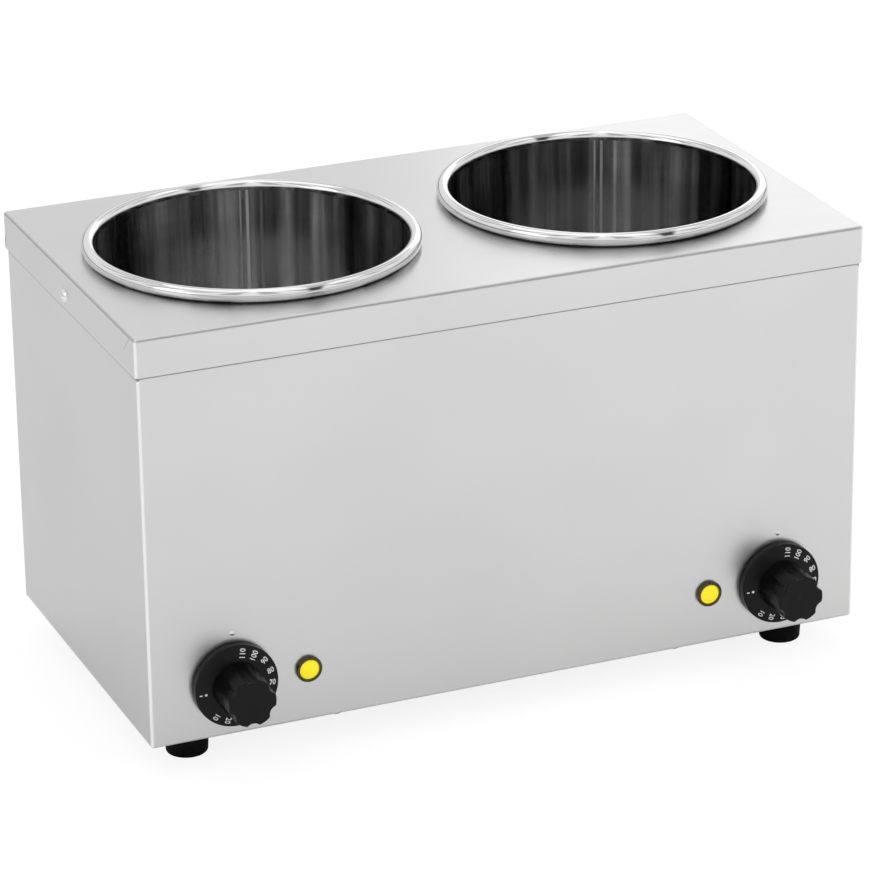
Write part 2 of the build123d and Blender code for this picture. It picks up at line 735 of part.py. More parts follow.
def make_foot_nut(x, y):
    nut = hexagon(foot_nut_flats, foot_nut_height)
    nut -= Cylinder(foot_bolt + thread_gap, 4 * foot_nut_height)
    return Pos(x, y, base_top) * nut


def make_rivet(side):
    """Dome-headed rivet through the top plate's side flange."""
    rise = (rivet_head ** 2 + rivet_crown ** 2) / (2 * rivet_crown)
    dome = Pos(0, rivet_crown - rise) * Circle(rise) & rectangle((0, rivet_head), (0, rivet_crown))
    thickness = 2 * sheet + flange_gap
    shank = rectangle((0, rivet_shank - thread_gap), (-thickness, 0))
    tail = rectangle((0, rivet_tail_radius), (-thickness - rivet_tail, -thickness))
    rivet = revolve(Plane.XZ * (dome + shank + tail), Axis.Z)
    place = Pos(side * width / 2, rivet_from_middle, plate_top - rivet_below_top)
    return place * Rot(0, side * 90, 0) * rivet


def make_stat_screw(x, z):
    screw = pan_screw(stat_screw_head, stat_screw_head_height, stat_screw_shank,
                      sheet + screw_reach - stat_screw_end_gap)
    return Pos(x, front_face, z) * Rot(-90, 0, 0) * screw


def make_base_screw(x, y):
    screw = pan_screw(screw_head, screw_head_height, screw_shank - thread_gap, screw_reach)
    return Pos(x, y, floor_z) * screw


def make_rear_screw(x, z):
    screw = pan_screw(screw_head, screw_head_height, screw_shank, screw_reach)
    return Pos(x, rear_face, z) * Rot(90, 0, 0) * screw


def make_gland():
    """Cable gland through the rear panel: thread, hexagon and domed cap round one bore."""
    body = hexagon(2 * gland_body * math.cos(math.pi / 6), gland_hex)
    inside = sheet + gland_inside
    body += Pos(0, 0, -inside / 2) * Cylinder(gland_thread, inside)
    cap = Pos(0, 0, gland_hex + gland_cap_length / 2) * Cylinder(gland_cap, gland_cap_length)
    cap = fillet(cap.edges().filter_by(GeomType.CIRCLE).sort_by(Axis.Z)[-1], gland_round)
    body += cap
    body -= Cylinder(gland_bore, 4 * (inside + gland_cap_length))
    return Pos(gland_x, rear_face, gland_z) * Rot(-90, 0, 0) * body


def make_gland_nut():
    nut = hexagon(2 * gland_nut * math.cos(math.pi / 6), gland_nut_height)
    nut -= Cylinder(gland_thread + thread_gap, 4 * gland_nut_height)
    return Pos(gland_x, shell_rear - gland_nut_height, gland_z) * Rot(-90, 0, 0) * nut


def block_y():
    return rear_face - block_from_rear


def earth_y():
    return block_y() - earth_from_block


def block_screw_places():
    return [end * (block_length / 2 - block_fix_inset) for end in (-1, 1)]


def pole_places():
    return [(i - (block_poles - 1) / 2) * block_pitch for i in range(block_poles)]


def pole_z():
    return base_top + block_tall / 2


def make_terminal_block():
    """Row of poles, bored along Y for the wires and from above for their screws."""
    y = block_y()
    body = block((-block_length / 2, block_length / 2), (y - block_width / 2, y + block_width / 2),
                 (base_top, base_top + block_tall))
    body = fillet(body.edges().filter_by(Axis.Z), 2 * sheet)
    for x in pole_places():
        body -= rod_y(x, pole_z(), (y - block_width, y + block_width), block_hole)
        body -= post(x, y, (pole_z(), base_top + 2 * block_tall), block_screw)
    for x in block_screw_places():
        body -= post(x, y, (base_under, base_top + 2 * block_tall), screw_shank + screw_gap)
    return body


def make_pole_screw(x):
    """Clamping screw in one pole of the terminal block."""
    length = block_tall / 2 - block_hole
    low = base_top + block_tall - length - slot_depth
    screw = post(x, block_y(), (low, low + length), block_screw - thread_gap)
    slot = Box(4 * block_screw, slot_width, slot_depth)
    return screw - Pos(x, block_y(), low + length - slot_depth / 2) * slot


def make_block_screw(x):
    """Screw that holds the terminal block to the base plate."""
    screw = pan_screw(block_fix_head, screw_head_height, screw_shank - thread_gap,
                      block_tall + 3 * sheet)
    return Pos(x, block_y(), base_top + block_tall) * Rot(180, 0, 0) * screw


def make_earth_stud():
    """Earth stud through the base plate, with its head below."""
    head = Pos(0, earth_y(), base_under - sheet) * extrude(RegularPolygon(earth_head, 6), sheet)
    return head + post(0, earth_y(), (base_under, base_top + earth_stud_reach),
                       earth_stud_radius - thread_gap)


def make_earth_nut():
    nut = hexagon(earth_nut_flats, earth_nut_flats / 2)
    nut -= Cylinder(earth_stud_radius + thread_gap, 2 * earth_nut_flats)
    return Pos(0, earth_y(), base_top) * nut


def wire_z():
    """Height of the wires that run across the casing, above the base plate."""
    return base_top + wire_level


def block_front(side, n):
    """Start of a wire in the nth pole out from the middle, a little inside its bore."""
    return side * n * block_pitch, block_y() - block_width / 2 + wire_start, pole_z()


def into_tab(place, reach):
    """Last two points of a wire that runs forward onto a connection tab."""
    x, y, z = place
    return [(x, y + tab_reach + reach, z), (x, y + tab_reach, z)]


def make_live_wire(side):
    """From the outer pole to the outer tab of the thermostat."""
    x, y, z = block_front(side, 3)
    tab = tab_places(side)[1 + side]
    turn = tab[1] + tab_reach + stat_turn
    return tube([(x, y, z), (x, y - wire_lead, wire_z()), (tab[0], turn, wire_z())]
                + into_tab(tab, stat_run), wire, wire_bend)


def make_neutral_wire(side):
    """From the second pole to the heater's rear pin."""
    x, y, z = block_front(side, 2)
    pin_x, pin_y = max(heater_end_places(side), key=lambda p: p[1])
    low = heater_level() - heater_leg - heater_pin_reach
    return tube([(x, y, z), (x, y - wire_lead, wire_z()), (pin_x, pin_y, wire_z()), (pin_x, pin_y, low)],
                wire, wire_bend)


def make_load_wire(side):
    """From the inner tab of the thermostat to the heater's front pin."""
    tab = tab_places(side)[1 - side]
    pin_x, pin_y = min(heater_end_places(side), key=lambda p: p[1])
    low = heater_level() - heater_leg - heater_pin_reach
    start = into_tab(tab, stat_run)
    return tube([start[1], start[0], (pin_x, pin_y, low - pin_run), (pin_x, pin_y, low)],
                wire, wire_bend)


def make_lamp_neutral(side):
    """From the first pole to the lamp's inner tab."""
    x, y, z = block_front(side, 1)
    tab = lamp_tab_places(side)[(1 - side) // 2]
    turn = tab[1] + tab_reach + lamp_turn
    return tube([(x, y, z), (x, y - wire_lead, wire_z()), (x, lamp_lane, wire_z() + wire_step),
                 (tab[0], turn, wire_z())] + into_tab(tab, lamp_run), wire, wire_bend_close)


def make_lamp_live(side):
    """From the lamp's outer tab round to the middle tab of the thermostat."""
    tab = lamp_tab_places(side)[(1 + side) // 2]
    stat = tab_places(side)[1]
    start = into_tab(tab, lamp_loop)
    end = into_tab(stat, stat_loop)
    middle = (side * (dial_spacing + lamp_spacing) / 4, end[0][1], tab[2] - 2 * wire_step)
    return tube([start[1], start[0], middle] + end, wire, wire_bend_close)


def make_earth_wire():
    """From the middle pole to the earth stud."""
    x, y, z = block_front(0, 0)
    low = base_top + earth_level
    end = earth_y() + earth_nut_flats / 2 + wire
    return tube([(x, y, z), (x, y - wire_lead / 2, z), (x, y - wire_lead / 2 - earth_run, low),
                 (x, end, low)], wire, wire_bend)


parts["top_plate"] = make_top_plate()
parts["casing_shell"] = make_casing_shell()
parts["rear_panel"] = make_rear_panel()
parts["base_plate"] = make_base_plate()
for name, side in sides.items():
    x = side * pot_pitch / 2
    parts[name + "_pot"] = make_pot(x)
    parts[name + "_well"] = make_well(x)
    parts[name + "_well_floor"] = make_well_floor(x)
    parts[name + "_heater"] = make_heater(side)
    parts[name + "_heater_clamp"] = make_clamp(side)
    parts[name + "_thermostat"] = make_thermostat(side)
    parts[name + "_capillary"] = make_capillary(side)
    parts[name + "_spindle"] = make_spindle(side)
    parts[name + "_dial"] = make_dial(side)
    parts[name + "_dial_clip"] = make_dial_clip(side)
    parts[name + "_lamp_bezel"] = make_bezel(side)
    parts[name + "_lamp_lens"] = make_lens(side)
    parts[name + "_lamp_body"] = make_lamp_body(side)
parts["well_studs"] = Compound([make_well_stud(s * pot_pitch / 2) for s in sides.values()])
parts["heater_nuts"] = Compound([make_clamp_nut(s) for s in sides.values()])
parts["bulb_clips"] = Compound([make_bulb_clip(s) for s in sides.values()])
parts["lamp_nuts"] = Compound([make_lamp_nut(s) for s in sides.values()])
parts["flange_rivets"] = Compound([make_rivet(s) for s in sides.values()])
parts["thermostat_screws"] = Compound([make_stat_screw(*p) for p in stat_screw_places()])
parts["base_screws"] = Compound([make_base_screw(*p) for p in base_screw_places()])
parts["rear_screws"] = Compound([make_rear_screw(*p) for p in rear_screw_places()])
for name, place in foot_places().items():
    parts[name + "_foot"] = make_foot(*place)
parts["foot_washers"] = Compound([make_foot_washer(*p) for p in foot_places().values()])
parts["foot_bolts"] = Compound([make_foot_bolt(*p) for p in foot_places().values()])
parts["foot_nuts"] = Compound([make_foot_nut(*p) for p in foot_places().values()])
parts["cable_gland"] = make_gland()
parts["gland_nut"] = make_gland_nut()
parts["terminal_block"] = make_terminal_block()
parts["terminal_screws"] = Compound([make_pole_screw(x) for x in pole_places()])
parts["block_screws"] = Compound([make_block_screw(x) for x in block_screw_places()])
parts["earth_stud"] = make_earth_stud()
parts["earth_nut"] = make_earth_nut()
parts["live_wires"] = Compound([make_live_wire(s) for s in sides.values()])
heater_wiring = [make_neutral_wire, make_load_wire]
lamp_wiring = [make_lamp_neutral, make_lamp_live]
parts["heater_wires"] = Compound([make(s) for s in sides.values() for make in heater_wiring])
parts["lamp_wires"] = Compound([make(s) for s in sides.values() for make in lamp_wiring])
parts["earth_wire"] = make_earth_wire()

os.makedirs("parts", exist_ok=True)
for name, shape in parts.items():
    export_step(Pos(0, middle_shift, 0) * shape, "parts/" + name + ".step")
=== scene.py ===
import bpy
import json
import math
import numpy as np
from mathutils import Matrix, Vector


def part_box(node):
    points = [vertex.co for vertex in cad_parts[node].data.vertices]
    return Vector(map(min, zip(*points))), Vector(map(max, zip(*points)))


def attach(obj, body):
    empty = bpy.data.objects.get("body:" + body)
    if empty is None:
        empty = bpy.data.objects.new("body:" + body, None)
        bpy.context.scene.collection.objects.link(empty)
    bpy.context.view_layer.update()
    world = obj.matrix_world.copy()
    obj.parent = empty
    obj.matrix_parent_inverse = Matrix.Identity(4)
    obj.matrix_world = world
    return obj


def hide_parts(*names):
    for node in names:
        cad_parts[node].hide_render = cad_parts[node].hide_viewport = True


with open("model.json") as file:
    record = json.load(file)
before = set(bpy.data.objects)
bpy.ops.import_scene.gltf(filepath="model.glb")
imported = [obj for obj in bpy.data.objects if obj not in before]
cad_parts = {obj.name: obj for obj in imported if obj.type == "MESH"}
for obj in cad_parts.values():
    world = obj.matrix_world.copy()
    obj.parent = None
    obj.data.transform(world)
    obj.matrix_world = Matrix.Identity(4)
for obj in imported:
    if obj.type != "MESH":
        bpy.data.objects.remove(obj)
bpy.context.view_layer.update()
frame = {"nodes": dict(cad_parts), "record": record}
print("frame loaded:", len(frame["nodes"]), "nodes")

sides = ("left", "right")


# mesh helpers


# Closed skin over a grid of points, rows by columns. The columns run once round, and the first and last rows
# meet in a pole each. U grows round the piece from the turn start, V is the length down the rows.
def gridMesh(name, points, materials, slotOfRow, around, start):
    rows, columns = points.shape[:2]
    keep = np.ones(rows * columns, bool)
    keep[1:columns] = False
    keep[1 - columns:] = False
    index = (np.cumsum(keep) - 1).reshape(rows, columns)
    low, high = index[:-1], index[1:]
    quads = np.stack([low, np.roll(low, -1, axis=1), np.roll(high, -1, axis=1), high], axis=2)
    v = np.r_[0.0, np.cumsum(np.linalg.norm(np.diff(points, axis=0), axis=2).max(axis=1))][:, None]
    u = ((np.arange(columns + 1) / columns - start) * around)[None]
    ends = ((u[:, :-1], v[:-1]), (u[:, 1:], v[:-1]), (u[:, 1:], v[1:]), (u[:, :-1], v[1:]))
    uv = np.stack([np.stack(np.broadcast_arrays(*end), axis=2) for end in ends], axis=2)
    firstFan, lastFan = [0, 2, 3], [0, 1, 3]
    fans = quads[0][:, firstFan].tolist(), quads[-1][:, lastFan].tolist()
    faces = fans[0] + quads[1:-1].reshape(-1, 4).tolist() + fans[1]
    corners = [uv[0][:, firstFan], uv[1:-1], uv[-1][:, lastFan]]
    mesh = bpy.data.meshes.new(name)
    mesh.from_pydata(points.reshape(-1, 3)[keep].tolist(), [], faces)
    layer = mesh.uv_layers.new(name="around")
    layer.data.foreach_set("uv", np.concatenate([corner.ravel() for corner in corners]))
    for material in materials:
        mesh.materials.append(material)
    mesh.polygons.foreach_set("material_index", np.repeat(slotOfRow.astype(int), columns))
    mesh.polygons.foreach_set("use_smooth", np.ones(len(faces), bool))
    mesh.update()
    return mesh


# Object for a finished mesh, riding on a body, with the frame's nodes that it stands in for hidden.
def placed(name, mesh, body, nodes=()):
    piece = bpy.data.objects.new(name, mesh)
    bpy.context.collection.objects.link(piece)
    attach(piece, body)
    if nodes:
        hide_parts(*nodes)
    return piece


# Points on a circle's stretch: centre + radius * (cos a, sin a), a in degrees from start to end.
def arc(centre, radius, start, end, count):
    a = np.radians(np.linspace(start, end, count))
    return np.column_stack([centre[0] + radius * np.cos(a), centre[1] + radius * np.sin(a)])


# Evenly spaced points on the straight line from p to q, without its ends.
def between(p, q, count):
    t = np.linspace(0, 1, count + 2)[1:-1, None]
    return (1 - t) * np.array(p) + t * np.array(q)


# Surface of revolution: every profile point (r, h) goes to r * (cos a, sin a) round the centre, at height h.
def turned(profile, centre, count):
    a = np.linspace(0, 2 * math.pi, count, endpoint=False)
    r, h = profile[:, 0, None], profile[:, 1, None]
    return np.stack([r * np.cos(a), r * np.sin(a), h + 0 * a], axis=2) + np.array(centre)


# materials


def newMaterial(name):
    material = bpy.data.materials.new(name)
    material.use_nodes = True
    tree = material.node_tree
    return material, tree, tree.nodes["Principled BSDF"]


# Adds a node. Settings are its properties; inputs are its sockets, by name with _ for a space, or by number
# after an n.
def node(tree, kind, settings=None, **inputs):
    made = tree.nodes.new(kind)
    for key, value in (settings or {}).items():
        setattr(made, key, value)
    for key, value in inputs.items():
        numbered = key[0] == "n" and key[1:].isdigit()
        socket = made.inputs[int(key[1:])] if numbered else made.inputs[key.replace("_", " ")]
        if isinstance(value, bpy.types.NodeSocket):
            tree.links.new(value, socket)
        else:
            socket.default_value = value
    return made


def maths(tree, operation, first, second=0.0):
    return node(tree, "ShaderNodeMath", {"operation": operation}, n0=first, n1=second).outputs[0]


def ownPlace(tree):
    return node(tree, "ShaderNodeTexCoord").outputs["Object"]


# Noise on object coordinates, drawn out along the axes where stretch is small.
def stretchedNoise(tree, scale, stretch, detail=3.0):
    mapped = node(tree, "ShaderNodeMapping", Vector=ownPlace(tree), Scale=stretch).outputs["Vector"]
    made = node(tree, "ShaderNodeTexNoise", Vector=mapped, Scale=scale, Detail=detail, Roughness=0.55)
    return made.outputs["Fac"]


def ranged(tree, value, low, high, fromLow=0.0, fromHigh=1.0, smooth=False):
    shape = {"interpolation_type": "SMOOTHSTEP" if smooth else "LINEAR"}
    return node(tree, "ShaderNodeMapRange", shape, Value=value, From_Min=fromLow, From_Max=fromHigh,
                To_Min=low, To_Max=high).outputs["Result"]


# Nought under the edge and one over it, with a soft step between.
def above(tree, value, edge, soft):
    return ranged(tree, value, 0.0, 1.0, edge - soft, edge + soft, True)


# Colour that goes from first to second, each a colour or a socket.
def tinted(tree, factor, first, second):
    ends = [end if isinstance(end, bpy.types.NodeSocket) else (*end, 1) for end in (first, second)]
    return node(tree, "ShaderNodeMix", {"data_type": "RGBA"}, n0=factor, n6=ends[0], n7=ends[1]).outputs[2]


def bumped(tree, height, distance, below=None):
    made = node(tree, "ShaderNodeBump", Height=height, Distance=distance)
    if below is not None:
        tree.links.new(below, made.inputs["Normal"])
    return made.outputs["Normal"]


satin = dict(dark=(0.675, 0.675, 0.68), light=(0.715, 0.715, 0.712), paintedHighlight=(0.93, 0.93, 0.93),
             rough=(0.29, 0.33), grainScale=900.0, grainDepth=0.0000022, waveScale=3.5, waveDepth=0.00018,
             mottleScale=6.0)

# Where the sheets are marked, in metres from the object's origin; middleY lies halfway along the sides.
middleY = 0.007
plate = dict(corner=(0.2186, 0.1146), shade=0.76, bendFrom=0.2628, side=0.2191, end=0.1151, endShare=0.55,
             weldSum=0.1615, weldHalf=0.0006, weldFrom=0.2535, rivet=(0.011, 0.2495), rivetRing=0.0044,
             ringHalf=0.0003, flangeFace=0.2197)
shell = dict(corner=(0.2174, 0.1134), shade=0.40, pipProud=0.0016, pipsWithin=0.18, side=0.2186,
             sideShare=0.45, flangeShadeFrom=0.2408, sideDrop=0.0012, notch=0.0019,
             notches=((0.2188, -0.1078, 0.2414), (0.2188, 0.1212, 0.2400)))


# One within half a width of a level, nought elsewhere.
def band(tree, value, level, half, soft):
    away = maths(tree, "ABSOLUTE", maths(tree, "SUBTRACT", value, level))
    return maths(tree, "SUBTRACT", 1.0, above(tree, away, half, soft))


# Distance of the surface from a point, over the axes that are given.
def distance(tree, values, point):
    steps = [maths(tree, "SUBTRACT", value, at) for value, at in zip(values, point)]
    squares = [maths(tree, "POWER", step, 2.0) for step in steps]
    total = squares[0]
    for square in squares[1:]:
        total = maths(tree, "ADD", total, square)
    return maths(tree, "SQRT", total)


# Coordinates of the surface on the piece, with x and y also as distances out from the object's middle.
def surfacePlace(tree):
    split = node(tree, "ShaderNodeSeparateXYZ", Vector=ownPlace(tree)).outputs
    out = maths(tree, "ABSOLUTE", split["X"])
    away = maths(tree, "ABSOLUTE", maths(tree, "SUBTRACT", split["Y"], middleY))
    return out, away, split["Y"], split["Z"]


# One on the bends round the top plate, near its top and one of its four edges, as painted shade for the dark
# line that the bends reflect; on the ground-down weld's edge at the front corner of each side flange; and
# round the rivets' heads, as painted shadow where the heads meet the flange.
def bendMask(tree, place):
    out, away, y, z = place
    side = above(tree, out, plate["side"], 0.0003)
    end = maths(tree, "MULTIPLY", above(tree, away, plate["end"], 0.0003), plate["endShare"])
    fold = maths(tree, "MAXIMUM", side, end)
    bend = maths(tree, "MULTIPLY", above(tree, z, plate["bendFrom"], 0.0003), fold)
    weld = band(tree, maths(tree, "ADD", y, z), plate["weldSum"], plate["weldHalf"], 0.0003)
    weld = maths(tree, "MULTIPLY", weld, above(tree, z, plate["weldFrom"], 0.001))
    ring = band(tree, distance(tree, (y, z), plate["rivet"]), plate["rivetRing"], plate["ringHalf"], 0.0002)
    onFlange = above(tree, out, plate["flangeFace"], 0.0001)
    marks = maths(tree, "MULTIPLY", maths(tree, "MAXIMUM", weld, ring), onFlange)
    return maths(tree, "MAXIMUM", bend, marks)


# Painted shadow on the casing just under the flanges, fainter on its sides, and painted shade behind the
# notches at their corners.
def seamMask(tree, place):
    out, away, y, z = place
    onSide = above(tree, out, shell["side"], 0.0001)
    height = maths(tree, "ADD", z, maths(tree, "MULTIPLY", onSide, shell["sideDrop"]))
    mask = maths(tree, "MULTIPLY", above(tree, height, shell["flangeShadeFrom"], 0.0002),
                 ranged(tree, onSide, 1.0, shell["sideShare"]))
    for corner in shell["notches"]:
        beyond = above(tree, distance(tree, (out, y, z), corner), shell["notch"], 0.0003)
        mask = maths(tree, "MAXIMUM", mask, maths(tree, "SUBTRACT", 1.0, beyond))
    return mask


# Painted highlight: one on the upright corners, outside both of the given distances, and a painted glint on
# the pips that stand proud of the front; these places are made lighter than the sheet.
def burnishedMask(tree, place, corner):
    out, away = place[:2]
    beyond = [above(tree, value, edge, 0.0004) for value, edge in zip((out, away), corner)]
    upright = maths(tree, "MULTIPLY", *beyond)
    proud = above(tree, away, corner[1] + shell["pipProud"], 0.0001)
    within = maths(tree, "SUBTRACT", 1.0, above(tree, out, shell["pipsWithin"], 0.001))
    return maths(tree, "MAXIMUM", upright, maths(tree, "MULTIPLY", proud, within))


# Satin-ground sheet: very fine grain along one direction and shallow waves. Where a sheet's marks are given,
# its corners and pips get a painted highlight, and a mask paints shade on its folds and seams and darkens
# welds.
def satinSteel(name, marks=None, mask=None):
    material, tree, shader = newMaterial(name)
    grain = stretchedNoise(tree, satin["grainScale"], (0.03, 1, 1), 2.0)
    mottle = stretchedNoise(tree, satin["mottleScale"], (1, 1, 1), 2.0)
    shader.inputs["Metallic"].default_value = 1.0
    colour = tinted(tree, ranged(tree, mottle, 0.0, 1.0, 0.3, 0.7), satin["dark"], satin["light"])
    rough = ranged(tree, grain, *satin["rough"], 0.3, 0.7)
    if marks:
        place = surfacePlace(tree)
        # Painted highlight on the corners and pips; then painted shade where the mask is one, and on the top
        # plate also the weld's darker edge.
        colour = tinted(tree, burnishedMask(tree, place, marks["corner"]), colour, satin["paintedHighlight"])
        colour = tinted(tree, mask(tree, place), colour, tuple(c * marks["shade"] for c in satin["dark"]))
    tree.links.new(colour, shader.inputs["Base Color"])
    tree.links.new(rough, shader.inputs["Roughness"])
    low = bumped(tree, stretchedNoise(tree, satin["waveScale"], (1, 1, 1), 1.0), satin["waveDepth"])
    tree.links.new(bumped(tree, grain, satin["grainDepth"], low), shader.inputs["Normal"])
    return material


spun = dict(lineScale=1300.0, lineDrift=0.015, lineRough=0.015, smearScale=16.0, smearRough=0.03,
            wallFrom=0.113)
potWall = dict(colour=(0.785, 0.785, 0.785), bandShade=0.52, rough=(0.075, 0.25), anisotropy=0.8,
               bands=((30.0, 0.6), (110.0, 0.27), (380.0, 0.13)), bandEdges=(0.36, 0.62), floorDrawn=1.0,
               polishLines=((0.0, 0.0008, 0.30), (0.0042, 0.0005, 0.20), (-0.0085, 0.0010, 0.12)),
               lineDepth=0.0000018)
# Painted shade: a darker copy of the wall steel, given to the right pot for the shade that falls in it.
shadedWall = dict(potWall, colour=(0.72, 0.72, 0.72))
potRim = dict(colour=(0.80, 0.80, 0.80), bandShade=0.95, rough=(0.04, 0.09), anisotropy=0.4,
              bands=((20.0, 1.0),), bandEdges=(0.3, 0.7), floorDrawn=0.0, polishLines=(), lineDepth=0.000006)


# Mirror-polished spinning: fine turned lines round it; upright bands where the wall was drawn, which scatter
# more or less light, stop above the floor and in part paint dark upright reflection streaks with their darker
# colour; and thin upright lines beside where the polishing began. Each polish line is a place round the wall,
# half a width and the roughness that it adds.
def polishedSteel(name, settings):
    material, tree, shader = newMaterial(name)
    shader.inputs["Metallic"].default_value = 1.0
    shader.inputs["Anisotropic"].default_value = settings["anisotropy"]
    shader.inputs["Anisotropic Rotation"].default_value = 0.25
    tangent = node(tree, "ShaderNodeTangent", {"direction_type": "UV_MAP", "uv_map": "around"})
    tree.links.new(tangent.outputs["Tangent"], shader.inputs["Tangent"])
    along = node(tree, "ShaderNodeUVMap", {"uv_map": "around"}).outputs["UV"]
    u, v = node(tree, "ShaderNodeSeparateXYZ", Vector=along).outputs[:2]
    split = node(tree, "ShaderNodeSeparateXYZ", Vector=ownPlace(tree)).outputs
    drift = [maths(tree, "MULTIPLY", split[axis], spun["lineDrift"]) for axis in ("X", "Y")]
    lineAt = node(tree, "ShaderNodeCombineXYZ", X=v, Y=drift[0], Z=drift[1]).outputs["Vector"]
    lines = node(tree, "ShaderNodeTexNoise", Vector=lineAt, Scale=spun["lineScale"], Detail=3.0)
    lines = lines.outputs["Fac"]
    smear = stretchedNoise(tree, spun["smearScale"], (1, 1, 0.6), 4.0)
    drawn = 0.0
    for fineness, weight in settings["bands"]:
        wave = maths(tree, "MULTIPLY", stretchedNoise(tree, fineness, (1, 1, 0.01), 1.0), weight)
        drawn = maths(tree, "ADD", wave, drawn)
    onWall = above(tree, split["Z"], spun["wallFrom"], 0.003)
    drawn = ranged(tree, drawn, 0.0, 1.0, *settings["bandEdges"], True)
    drawn = maths(tree, "MULTIPLY", drawn, onWall)
    drawn = maths(tree, "ADD", drawn, ranged(tree, onWall, settings["floorDrawn"], 0.0))
    rough = ranged(tree, drawn, *settings["rough"])
    for turn, half, more in settings["polishLines"]:
        line = maths(tree, "MULTIPLY", band(tree, u, turn, half, half * 0.5), onWall)
        rough = maths(tree, "ADD", rough, maths(tree, "MULTIPLY", line, more))
    for fine, depth in ((smear, spun["smearRough"]), (lines, spun["lineRough"])):
        rough = maths(tree, "ADD", rough, ranged(tree, fine, -depth, depth, 0.3, 0.7))
    tree.links.new(rough, shader.inputs["Roughness"])
    bright = settings["colour"]
    # The bands' darker colour is partly a tone of the drawn steel and partly painted reflection, deepening
    # the dark upright streaks that the wall mirrors.
    colour = tinted(tree, drawn, tuple(c * settings["bandShade"] for c in bright), bright)
    tree.links.new(colour, shader.inputs["Base Color"])
    tree.links.new(bumped(tree, lines, settings["lineDepth"]), shader.inputs["Normal"])
    return material


castMetal = dict(scale=400.0, depth=0.000006, spread=(0.8, 1.25))


# Cast, plated or drawn small metal with a fine uneven surface.
def plainMetal(name, colour, rough, low=0.88):
    material, tree, shader = newMaterial(name)
    shader.inputs["Metallic"].default_value = 1.0
    uneven = stretchedNoise(tree, castMetal["scale"], (1, 1, 1))
    tint = tinted(tree, uneven, tuple(c * low for c in colour), colour)
    tree.links.new(tint, shader.inputs["Base Color"])
    tree.links.new(ranged(tree, uneven, *(rough * share for share in castMetal["spread"])),
                   shader.inputs["Roughness"])
    tree.links.new(bumped(tree, uneven, castMetal["depth"]), shader.inputs["Normal"])
    return material


moulded = dict(handledScale=90.0, handledTint=(0.75, 1.3), handledRough=(0.8, 1.2))


# Moulded plastic or rubber with a fine spark-eroded texture and a little handling wear.
def mouldedPlastic(name, colour, rough, gloss=0.5, texture=0.00001, scale=1400.0):
    material, tree, shader = newMaterial(name)
    shader.inputs["Specular IOR Level"].default_value = gloss
    spark = stretchedNoise(tree, scale, (1, 1, 1), 2.0)
    handled = stretchedNoise(tree, moulded["handledScale"], (1, 1, 1), 3.0)
    tints = [tuple(c * share for c in colour) for share in moulded["handledTint"]]
    tree.links.new(tinted(tree, handled, *tints), shader.inputs["Base Color"])
    tree.links.new(ranged(tree, handled, *(rough * share for share in moulded["handledRough"]), 0.3, 0.7),
                   shader.inputs["Roughness"])
    tree.links.new(bumped(tree, spark, texture), shader.inputs["Normal"])
    return material


lens = dict(colour=(0.95, 0.76, 0.004), deep=(0.93, 0.70, 0.003), rough=0.2, paintedGlow=0.22, cellScale=900.0,
            cellDepth=0.00002)


# Moulded lens: a clear yellow with a faint pattern of cells behind its face, and a faint painted glow for the
# light that comes through the plastic.
def amberLens(name):
    material, tree, shader = newMaterial(name)
    cells = node(tree, "ShaderNodeTexVoronoi", Scale=lens["cellScale"], Vector=ownPlace(tree))
    cells = cells.outputs["Distance"]
    colour = tinted(tree, ranged(tree, cells, 0.0, 1.0, 0.1, 0.8), lens["colour"], lens["deep"])
    tree.links.new(colour, shader.inputs["Base Color"])
    tree.links.new(colour, shader.inputs["Emission Color"])
    # Painted glow: the lens gives out a little light of its own colour, standing in for light through the
    # plastic.
    shader.inputs["Emission Strength"].default_value = lens["paintedGlow"]
    shader.inputs["Roughness"].default_value = lens["rough"]
    tree.links.new(bumped(tree, cells, lens["cellDepth"]), shader.inputs["Normal"])
    return material


ink = dict(worn=(0.45, 0.45, 0.44), fresh=(0.82, 0.82, 0.81), rough=0.6, wearScale=900.0, wearDepth=0.00001)


# Pad-printed white that has worn unevenly.
def printedWhite(name):
    material, tree, shader = newMaterial(name)
    wear = stretchedNoise(tree, ink["wearScale"], (1, 1, 1))
    colour = tinted(tree, ranged(tree, wear, 0.0, 1.0, 0.3, 0.6), ink["worn"], ink["fresh"])
    tree.links.new(colour, shader.inputs["Base Color"])
    shader.inputs["Roughness"].default_value = ink["rough"]
    tree.links.new(bumped(tree, wear, ink["wearDepth"]), shader.inputs["Normal"])
    return material


